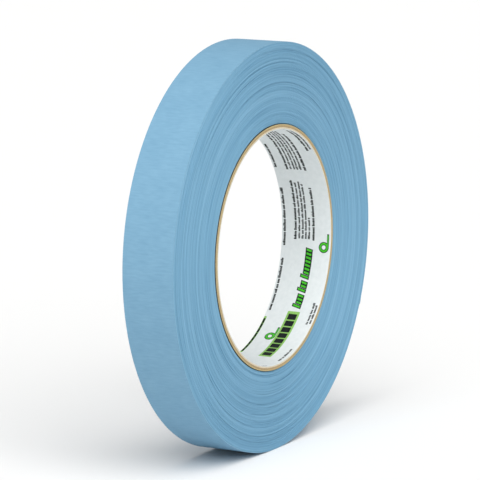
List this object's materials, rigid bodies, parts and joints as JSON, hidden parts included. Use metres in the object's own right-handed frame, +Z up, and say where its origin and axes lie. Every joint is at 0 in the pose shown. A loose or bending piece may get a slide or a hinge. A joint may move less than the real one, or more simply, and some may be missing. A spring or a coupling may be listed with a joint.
{
  "type": "masking tape roll",
  "caption": "Roll of light blue crepe paper masking tape wound on a paperboard core with a white printed liner; the loose end peels back from the rim.",
  "frame": {"origin": "centre of the core's bore, half way along it", "axes": "+Y along the roll's axis, +Z up with the roll standing on its rim, +X towards the side where the loose end is stuck down"},
  "size_m": [0.1321, 0.0182, 0.132],
  "materials": {
    "liner_paper": "smooth matte white with grey and green print",
    "kraft_board": "raw brown paperboard",
    "crepe_paper": "light blue saturated crepe paper, satin",
    "tape_adhesive": "tacky, translucent, semi-gloss"
  },
  "bodies": {
    "roll": {"core_liner": "liner_paper", "core_ply_inner": "kraft_board", "core_ply_middle": "kraft_board", "core_ply_outer": "kraft_board", "wound_tape": "crepe_paper", "last_lap_adhesive": "tape_adhesive", "last_lap_backing": "crepe_paper"},
    "loose_end_1": {"loose_end_backing_1": "crepe_paper", "loose_end_adhesive_1": "tape_adhesive"},
    "loose_end_2": {"loose_end_backing_2": "crepe_paper", "loose_end_adhesive_2": "tape_adhesive"},
    "loose_end_3": {"loose_end_backing_3": "crepe_paper", "loose_end_adhesive_3": "tape_adhesive"},
    "loose_end_4": {"loose_end_backing_4": "crepe_paper", "loose_end_adhesive_4": "tape_adhesive"},
    "loose_end_5": {"loose_end_backing_5": "crepe_paper", "loose_end_adhesive_5": "tape_adhesive"},
    "loose_end_6": {"loose_end_backing_6": "crepe_paper", "loose_end_adhesive_6": "tape_adhesive"}
  },
  "joints": [
    {"name": "peel_back", "type": "hinge", "parent": "roll", "child": "loose_end_1", "pos_m": [0.06321, 0, 0.0193], "axis": [0, -1, 0], "range_deg": [0, 60]},
    {"name": "curl_2", "type": "hinge", "parent": "loose_end_1", "child": "loose_end_2", "pos_m": [0.06509, 0, 0.01145], "axis": [0, -1, 0], "range_deg": [0, 15]},
    {"name": "curl_3", "type": "hinge", "parent": "loose_end_2", "child": "loose_end_3", "pos_m": [0.06601, 0, 0.00344], "axis": [0, -1, 0], "range_deg": [0, 15]},
    {"name": "curl_4", "type": "hinge", "parent": "loose_end_3", "child": "loose_end_4", "pos_m": [0.06594, 0, -0.00463], "axis": [0, -1, 0], "range_deg": [0, 15]},
    {"name": "curl_5", "type": "hinge", "parent": "loose_end_4", "child": "loose_end_5", "pos_m": [0.06488, 0, -0.01262], "axis": [0, -1, 0], "range_deg": [0, 15]},
    {"name": "curl_6", "type": "hinge", "parent": "loose_end_5", "child": "loose_end_6", "pos_m": [0.06286, 0, -0.02043], "axis": [0, -1, 0], "range_deg": [0, 15]}
  ],
  "couplings": [
    {"joint": "curl_2", "follows": "peel_back", "ratio": 0.25},
    {"joint": "curl_3", "follows": "peel_back", "ratio": 0.25},
    {"joint": "curl_4", "follows": "peel_back", "ratio": 0.25},
    {"joint": "curl_5", "follows": "peel_back", "ratio": 0.25},
    {"joint": "curl_6", "follows": "peel_back", "ratio": 0.25}
  ]
}
